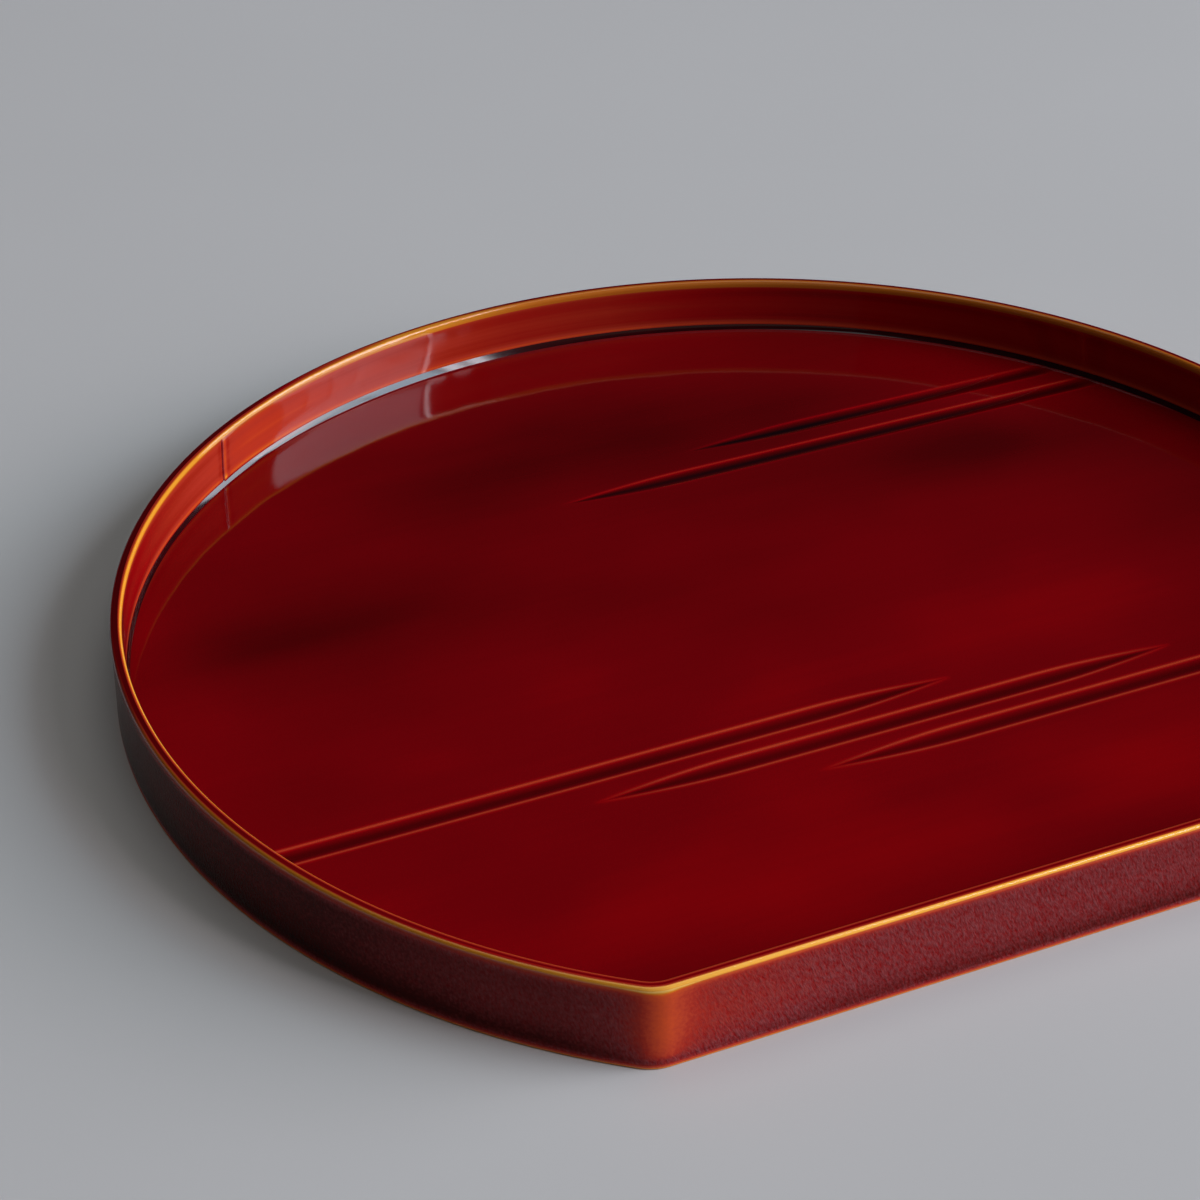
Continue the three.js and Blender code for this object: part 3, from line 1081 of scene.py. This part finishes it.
@dataclass(frozen=True)
class CoveBead:
    """The putty run into the corner between the wall and the floor, under pooled lacquer."""

    outline: Outline
    wall: float = 3.2
    floor_top: float = 7.0
    bed: float = 0.05
    face_steps: int = 10
    arc_steps: int = 360
    corner_steps: int = 14
    chord_steps: int = 40

    def build(self) -> bpy.types.Object:
        """Builds the cove.

        Returns:
            The cove's object.
        """
        arc = self.outline.even_arc(self.arc_steps)
        stations = self.outline.walk(arc, self.corner_steps, self.chord_steps)
        angle = np.arctan2(stations[0][:, 1], stations[0][:, 0])
        foot = np.radians(around(COVE_FOOT_SLOPES, angle))
        top = np.radians(around(COVE_TOP_SLOPES, angle))
        rise = around(COVE_RISES, angle)
        width = rise / np.tan((foot + top) / 2)
        down = rise * np.cos(foot) - width * np.sin(foot)
        down /= np.sin(top) * np.cos(foot) - np.cos(top) * np.sin(foot)
        bend_out = down * np.cos(top)
        bend_up = rise - down * np.sin(top)
        low = np.full_like(width, -self.bed)
        rows = [(low, low, 1.0), (width, low, 0.9)]
        for i in range(self.face_steps + 1):
            share = i / self.face_steps
            out = (1 - share) ** 2 * width + 2 * share * (1 - share) * bend_out
            rows.append((out, 2 * share * (1 - share) * bend_up + share**2 * rise, 0.97))
        rows.append((low, rise, 0.8))
        outs, ups, films = zip(*rows)
        inset = self.wall + np.stack(outs)
        height = self.floor_top + np.stack(ups)
        film = np.repeat(films, len(angle))
        return sweep("pooled_cove", self.outline, stations, inset, height, film)


@dataclass(frozen=True)
class HoldingStrip:
    """The thin strip under the floor's edge that holds the floor up in its rabbet."""

    outline: Outline
    outer: float = 2.5
    width: float = 5.0
    top: float = 1.7
    arris: float = 0.4
    arris_steps: int = 4
    foot_flat: float = 0.3
    arc_steps: int = 240
    corner_steps: int = 10
    chord_steps: int = 24

    def build(self) -> bpy.types.Object:
        """Builds the strip.

        Returns:
            The strip's object.
        """
        inner = self.outer + self.width
        rows = [
            (inner, self.top, 0.95),
            (self.outer, self.top, 0.95),
            (self.outer, 0.0, 0.9),
            (inner - self.arris - self.foot_flat, 0.0, 0.85),
        ]
        for _, sine, cosine in quarter(self.arris_steps):
            rows.append((inner - self.arris * (1 - sine), self.arris * (1 - cosine), 0.7))
        arc = self.outline.even_arc(self.arc_steps)
        stations = self.outline.walk(arc, self.corner_steps, self.chord_steps)
        inset, height, film = Section.of(rows).spread(len(stations[0]))
        return sweep("foot_strip", self.outline, stations, inset, height, film)


@dataclass(frozen=True)
class Stroke:
    """One gouge stroke along the straight side; a missing end runs to the rim."""

    y: float
    left: Optional[float]
    right: Optional[float]
    worn_near: float = 1.0
    worn_far: float = 1.0
    pool: float = 0.14


@dataclass(frozen=True)
class Patch:
    """A broad soft patch of the floor, where the film is thicker or thinner."""

    x: float
    y: float
    wide: float
    deep: float
    film: float


@dataclass(frozen=True)
class Floor:
    """Four planks with one lacquered face across them, cut by five shallow gouge strokes."""

    outline: Outline
    inset: float = 2.5
    top: float = 7.0
    bottom: float = 2.0
    edges: Tuple[float, ...] = (-141.5, -84.5, -9.5, 65.5, 177.3)
    gouge: float = 14.0
    stroke_width: float = 6.5
    taper: float = 42.0
    arris: float = 1.0
    columns: int = 178
    coarse: float = 3.0
    film: float = 0.666
    line: float = 0.40
    line_width: float = 0.55
    line_power: float = 1.6
    line_fade: float = 0.7
    pool_core: Span = (0.05, 1.0)
    pool_keen: Span = (0.0, 0.5)
    run_out: Span = (4.6, 12.0)
    run_out_film: float = 0.3
    passes: int = 3
    least_half: float = 0.3
    pool_shift: float = 0.16
    row_gap: float = 0.4
    under_film: float = 0.86
    back_darkening: float = 0.035
    back_span: Span = (-40.0, 60.0)
    shares: Tuple[float, ...] = (0.18, 0.36, 0.52, 0.66, 0.78, 0.86, 0.92, 0.96, 1.0)
    beyond: Tuple[float, ...] = (0.12, 0.24, 0.36, 0.5, 0.7, 1.0, 1.5)
    patches: Tuple[Patch, ...] = (
        Patch(-120.0, 50.0, 34.0, 13.0, 0.08),
        Patch(15.0, 112.0, 80.0, 28.0, 0.08),
        Patch(104.0, 62.0, 50.0, 17.0, 0.10),
        Patch(-50.0, 108.0, 40.0, 16.0, 0.04),
        Patch(-15.0, 20.0, 40.0, 22.0, 0.03),
        Patch(-145.0, -25.0, 24.0, 20.0, 0.03),
        Patch(70.0, -20.0, 60.0, 16.0, -0.055),
        Patch(5.0, -22.0, 45.0, 18.0, -0.020),
        Patch(-100.0, -100.0, 60.0, 22.0, -0.03),
        Patch(0.0, -105.0, 70.0, 14.0, -0.038),
        Patch(-158.0, 40.0, 12.0, 40.0, -0.03),
        Patch(35.0, 8.0, 95.0, 20.0, -0.020),
        Patch(-125.0, 20.0, 30.0, 60.0, 0.018),
        Patch(122.0, 96.0, 20.0, 34.0, -0.035),
        Patch(64.0, 104.0, 24.0, 12.0, 0.030),
        Patch(50.0, -98.0, 40.0, 20.0, -0.024),
        Patch(-52.0, -112.0, 26.0, 14.0, 0.018),
    )
    strokes: Tuple[Stroke, ...] = (
        Stroke(-42.5, None, 29.0),
        Stroke(-54.0, -81.0, 91.0),
        Stroke(-65.5, -23.0, None),
        Stroke(83.2, -28.0, None, 0.25, 0.7, 0.24),
        Stroke(96.0, 18.5, None, 0.15, 0.4, 0.24),
    )

    def half_stroke(self, stroke: Stroke, x: np.ndarray) -> np.ndarray:
        """Half the stroke's width along its length, 0 beyond its tips.

        Args:
            stroke: The stroke.
            x: Places along it.

        Returns:
            Half widths.
        """
        far = np.full_like(x, self.taper)
        left = far if stroke.left is None else x - stroke.left
        right = far if stroke.right is None else stroke.right - x
        share = np.clip(np.minimum(left, right) / self.taper, 0.0, 1.0)
        return self.stroke_width / 2 * np.sin(share * math.pi / 2)

    def blotches(self, x: np.ndarray, y: np.ndarray) -> np.ndarray:
        """Broad soft patches where the lacquer lies thicker or thinner, and a darkening towards
        the back.

        Args:
            x: Places along the straight side.
            y: Places along the depth.

        Returns:
            What is added to the film.
        """
        # Darker towards the back.
        film = self.back_darkening * smooth(y, *self.back_span)
        for patch in self.patches:
            from_x = (x - patch.x) / patch.wide
            from_y = (y - patch.y) / patch.deep
            film = film + patch.film * np.exp(-(from_x**2) - from_y**2)
        return film

    def row_plan(self, low: float, high: float) -> List[Tuple[Optional[Stroke], float, float]]:
        """The rows of one plank: plain ones, and ones that follow a stroke.

        Args:
            low: The plank's front edge.
            high: The plank's back edge.

        Returns:
            For each row its stroke, the share of the half width that it lies at, and its
            distance beyond that; without a stroke, the last is the row's place.
        """
        shares = [-share for share in reversed(self.shares)] + [0.0, *self.shares]
        rows: List[Tuple[Optional[Stroke], float, float]] = []
        at = low
        for stroke in sorted(self.strokes, key=lambda item: item.y):
            if not low < stroke.y < high:
                continue
            reach = self.stroke_width / 2 + self.beyond[-1]
            rows += self._plain(at, stroke.y - reach - self.row_gap)
            rows += [(stroke, -1.0, -step) for step in reversed(self.beyond)]
            rows += [(stroke, share, 0.0) for share in shares]
            rows += [(stroke, 1.0, step) for step in self.beyond]
            at = stroke.y + reach + self.row_gap
        return rows + self._plain(at, high)

    def _plain(self, low: float, high: float) -> List[Tuple[Optional[Stroke], float, float]]:
        """Evenly spaced rows that follow no stroke, from one place to another."""
        count = max(1, math.ceil((high - low) / self.coarse))
        return [(None, 0.0, y) for y in np.linspace(low, high, count + 1)]

    def profile(
        self, across: np.ndarray, half: np.ndarray, stroke: Stroke
    ) -> Tuple[np.ndarray, np.ndarray]:
        """The stroke's depth below the face and its lacquer, across the stroke.

        Args:
            across: Distances from the stroke's middle line.
            half: Half the stroke's width there.
            stroke: The stroke, for how far its edges are rubbed.

        Returns:
            Depths, and what is added to the film.
        """
        reach = np.abs(across)
        rise = np.sqrt(self.gouge**2 - half**2)
        outer = self.gouge + self.arris
        rolled = np.sqrt(np.maximum(outer**2 - (rise + self.arris) ** 2, 0.0))
        touch = rolled * self.gouge / outer
        hollow = np.sqrt(np.maximum(self.gouge**2 - reach**2, 0.0)) - rise
        roll = self.arris - np.sqrt(np.maximum(self.arris**2 - (rolled - reach) ** 2, 0.0))
        depth = np.where(reach <= touch, hollow, np.where(reach < rolled, roll, 0.0))
        keen = half / (self.stroke_width / 2)
        edge = (touch + rolled) / 2
        worn = np.where(across > 0, stroke.worn_far, stroke.worn_near)
        aside = np.abs((reach - edge) / self.line_width) ** self.line_power
        thin = np.exp(-aside) * self.line * worn * keen**self.line_fade
        core = np.abs(across + self.pool_shift * half) / np.maximum(half, self.least_half)
        pooled = (1 - smooth(core, *self.pool_core)) * stroke.pool * smooth(keen, *self.pool_keen)
        return depth, pooled - thin

    def build_plank(self, number: int) -> bpy.types.Object:
        """Builds one plank, with its share of the strokes.

        Args:
            number: The plank's number, from 1 at the front.

        Returns:
            The plank's object.
        """
        low, high = self.edges[number - 1], self.edges[number]
        plan = self.row_plan(low, high)
        share = np.linspace(-1.0, 1.0, self.columns + 1)
        kept = self.run_out_film
        rows = []
        films = []
        for stroke, at, beyond in plan:
            start = 0.0 if stroke is None else stroke.y + at * self.stroke_width / 2
            y = np.full_like(share, start + beyond)
            x = share * self.outline.half_width(y, self.inset)
            if stroke is None:
                rows.append(np.stack([x, y, np.full_like(x, self.top)], 1))
                films.append(self.film + self.blotches(x, y))
                continue
            for _ in range(self.passes):
                half = self.half_stroke(stroke, x)
                y = stroke.y + at * np.maximum(half, self.least_half) + beyond
                x = share * self.outline.half_width(y, self.inset)
            half = self.half_stroke(stroke, x)
            depth, added = self.profile(y - stroke.y, half, stroke)
            near, far = self.run_out
            fade = smooth(self.outline.half_width(y, near) - np.abs(x), 0.0, far - near)
            rows.append(np.stack([x, y, self.top - depth * fade], 1))
            films.append(self.film + self.blotches(x, y) + added * (kept + (1 - kept) * fade))
        return self._close(f"floor_board_{number}", np.array(rows), np.array(films))

    def _close(self, name: str, upper: np.ndarray, films: np.ndarray) -> bpy.types.Object:
        """Closes a lacquered face into a solid plank with walls and an underside.

        Args:
            name: The plank's name.
            upper: The upper face's points, row by row.
            films: The film at those points.

        Returns:
            The plank's object.
        """
        count, across = films.shape
        edge = [(0, j) for j in range(across)]
        edge += [(i, across - 1) for i in range(1, count)]
        edge += [(count - 1, j) for j in range(across - 2, -1, -1)]
        edge += [(i, 0) for i in range(count - 2, 0, -1)]
        lower = np.array([[*upper[i, j, :2], self.bottom] for i, j in edge])
        points = np.concatenate([upper.reshape(-1, 3), lower])
        film = np.concatenate([films.ravel().clip(0, 1), np.full(len(lower), self.under_film)])
        faces: List[Tuple[int, ...]] = []
        for i in range(count - 1):
            for j in range(across - 1):
                at = i * across + j
                faces.append((at, at + 1, at + across + 1, at + across))
        base = count * across
        for k, (i, j) in enumerate(edge):
            ahead = (k + 1) % len(edge)
            to_i, to_j = edge[ahead]
            faces.append((i * across + j, base + k, base + ahead, to_i * across + to_j))
        faces.append(tuple(base + k for k in reversed(range(len(edge)))))
        return make_piece(name, points, faces, film, self.outline.middle)


@dataclass(frozen=True)
class Pane:
    """One soft rectangular light, by the angles at which the tray sees it."""

    name: str
    azimuth: Span
    elevation: Span
    radiance: float
    tint: Colour
    distance: float = 8.0

    def build(self) -> None:
        """Adds the light."""
        azimuth = math.radians(sum(self.azimuth) / 2)
        elevation = math.radians(sum(self.elevation) / 2)
        wide = math.radians(self.azimuth[1] - self.azimuth[0]) * math.cos(elevation)
        tall = math.radians(self.elevation[1] - self.elevation[0])
        toward = Vector(
            (
                math.cos(elevation) * math.cos(azimuth),
                math.cos(elevation) * math.sin(azimuth),
                math.sin(elevation),
            )
        )
        light = bpy.data.lights.new(self.name, "AREA")
        light.shape = "RECTANGLE"
        light.size = 2 * self.distance * math.tan(wide / 2)
        light.size_y = 2 * self.distance * math.tan(tall / 2)
        light.energy = self.radiance * math.pi * light.size * light.size_y
        light.color = self.tint
        lamp = bpy.data.objects.new(self.name, light)
        lamp.location = toward * self.distance
        lamp.rotation_euler = toward.to_track_quat("Z", "Y").to_euler()
        bpy.context.scene.collection.objects.link(lamp)


@dataclass(frozen=True)
class Studio:
    """The plain pale ground and the soft light."""

    ground_side: float = 14.0
    world: Colour = (0.008, 0.008, 0.010)
    overhead_radiance: float = 0.82
    overhead_side: float = 2.0
    overhead_height: float = 2.1
    panes: Tuple[Pane, ...] = (
        Pane("pane_low", (-45.2, -9.5), (3.9, 23.5), 10.0, (1.0, 0.92, 1.0)),
        Pane("pane_high", (-45.2, -9.5), (23.5, 30.8), 9.0, (0.80, 0.90, 1.0)),
        Pane("pane_upper", (-45.2, -29.0), (30.8, 34.0), 9.5, (0.80, 0.90, 1.0)),
        Pane("pane_top", (-45.2, -29.0), (34.0, 47.3), 8.5, (0.66, 0.84, 1.0)),
        Pane("pane_fade_1", (-29.0, -22.5), (30.8, 47.3), 8.0, (0.74, 0.88, 1.0)),
        Pane("pane_fade_2", (-22.5, -16.0), (30.8, 47.3), 5.6, (0.74, 0.88, 1.0)),
        Pane("pane_fade_3", (-16.0, -9.5), (30.8, 47.3), 2.8, (0.74, 0.88, 1.0)),
        Pane("pane_side", (-9.5, 4.0), (3.9, 24.0), 7.0, (0.80, 0.88, 1.0)),
        Pane("pane_bar", (-47.1, -46.3), (19.6, 29.6), 40.0, (1.0, 0.93, 1.0)),
        Pane("pane_far", (-50.2, -46.3), (29.6, 51.4), 14.0, (0.96, 0.91, 1.0)),
        Pane("pane_end", (-55.6, -51.6), (30.1, 51.4), 14.0, (0.96, 0.91, 1.0)),
        Pane("pane_dim", (-131.0, -61.0), (7.8, 44.3), 0.18, (1.0, 0.80, 0.66)),
    )

    def build(self) -> None:
        """Adds the ground, the lights and the dim surroundings."""
        half = self.ground_side / 2
        mesh = bpy.data.meshes.new("ground")
        corners = [(-half, -half, 0), (half, -half, 0), (half, half, 0), (-half, half, 0)]
        mesh.from_pydata(corners, [], [(0, 1, 2, 3)])
        ground = bpy.data.objects.new("ground", mesh)
        ground.data.materials.append(PaleGround().make())
        bpy.context.scene.collection.objects.link(ground)
        for pane in self.panes:
            pane.build()
        light = bpy.data.lights.new("overhead", "AREA")
        light.shape = "SQUARE"
        light.size = self.overhead_side
        light.energy = self.overhead_radiance * math.pi * self.overhead_side**2
        lamp = bpy.data.objects.new("overhead", light)
        lamp.location = (0.0, 0.0, self.overhead_height)
        bpy.context.scene.collection.objects.link(lamp)
        world = bpy.data.worlds.new("studio")
        world.use_nodes = True
        world.node_tree.nodes["Background"].inputs["Color"].default_value = (*self.world, 1.0)
        bpy.context.scene.world = world


@dataclass(frozen=True)
class Viewpoint:
    """The camera, where the photograph was taken from."""

    location: Tuple[float, float, float] = (-0.34007, -0.62642, 0.45203)
    tilt: float = 57.82
    heading: float = -25.16
    sensor: float = 36.0
    lens: float = 90.73

    def build(self) -> None:
        """Adds the camera and makes it the scene's."""
        camera = bpy.data.cameras.new("viewpoint")
        camera.sensor_width = self.sensor
        camera.lens = self.lens
        holder = bpy.data.objects.new("viewpoint", camera)
        holder.location = self.location
        holder.rotation_euler = (math.radians(self.tilt), 0.0, math.radians(self.heading))
        bpy.context.scene.collection.objects.link(holder)
        bpy.context.scene.camera = holder


class Tray:
    """The whole tray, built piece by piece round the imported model."""

    def __init__(self) -> None:
        """Lays out the tray and mixes its finishes."""
        self.outline = Outline()
        self.wall_lacquer = Lacquer(
            "wall_lacquer",
            clouds=0.10,
            streaks=0.10,
            streak_scale=(5.0, 5.0, 420.0),
            brush=0.06,
            brush_scale=(14.0, 14.0, 1500.0),
        ).make()
        self.outer_lacquer = Lacquer(
            "outer_lacquer",
            tint=Tint.BROWN_AND_SHEEN,
            clouds=0.10,
            streaks=0.04,
            streak_scale=(5.0, 5.0, 300.0),
            crinkle=0.17,
            roughness=0.16,
            # Little gloss on the outer face; the ground's reflection is painted instead, in the
            # brown tint and as a sheen on the wrinkles.
            gloss=0.06,
            ripple=0.0002,
            fold_sheen=(0.1, 3.5, 3.4),
        ).make()
        self.floor_lacquer = Lacquer(
            "floor_lacquer",
            clouds=0.16,
            cloud_scale=(11.0, 16.0, 9.0),
            streaks=0.035,
            streak_scale=(8.0, 90.0, 90.0),
            brush=0.012,
        ).make()
        self.cove_lacquer = Lacquer("cove_lacquer", clouds=0.04, roughness=0.10).make()
        self.under_lacquer = Lacquer("under_lacquer", clouds=0.05, roughness=0.3).make()
        self.bamboo = Bamboo("bamboo").make()

    def fit(
        self,
        piece: bpy.types.Object,
        finishes: Sequence[bpy.types.Material],
        node: str,
    ) -> None:
        """Dresses a piece, lets it ride with the tray, and puts it in a node's place.

        Args:
            piece: The piece.
            finishes: Its materials, in the order that its faces number them.
            node: The node that the piece stands for.
        """
        for finish in finishes:
            piece.data.materials.append(finish)
        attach(piece, BODY)
        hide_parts(node)
        log.info("%s stands for %s, %d points", piece.name, node, len(piece.data.vertices))

    def build(self) -> None:
        """Builds and dresses every piece."""
        hoop_finishes = [self.wall_lacquer, self.outer_lacquer]
        self.fit(Hoop(self.outline).build(), hoop_finishes, "rim_hoop")
        self.fit(CoveBead(self.outline).build(), [self.cove_lacquer], "cove_bead")
        strip = HoldingStrip(self.outline).build()
        self.fit(strip, [self.under_lacquer], "holding_strip")
        floor = Floor(self.outline)
        for number in range(1, len(floor.edges)):
            plank = floor.build_plank(number)
            self.fit(plank, [self.floor_lacquer], f"floor_plank_{number}")
        for name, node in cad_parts.items():
            if name.startswith(("plank_pin_", "hoop_peg_")):
                node.data.materials.clear()
                node.data.materials.append(self.bamboo)
                log.info("%s keeps its shape, in bamboo", name)


def main() -> None:
    """Builds the tray, its studio and the viewpoint."""
    logging.basicConfig(level=logging.INFO, format="%(message)s")
    bpy.context.scene.view_settings.view_transform = "Standard"
    Tray().build()
    Studio().build()
    Viewpoint().build()


if __name__ == "__main__":
    main()
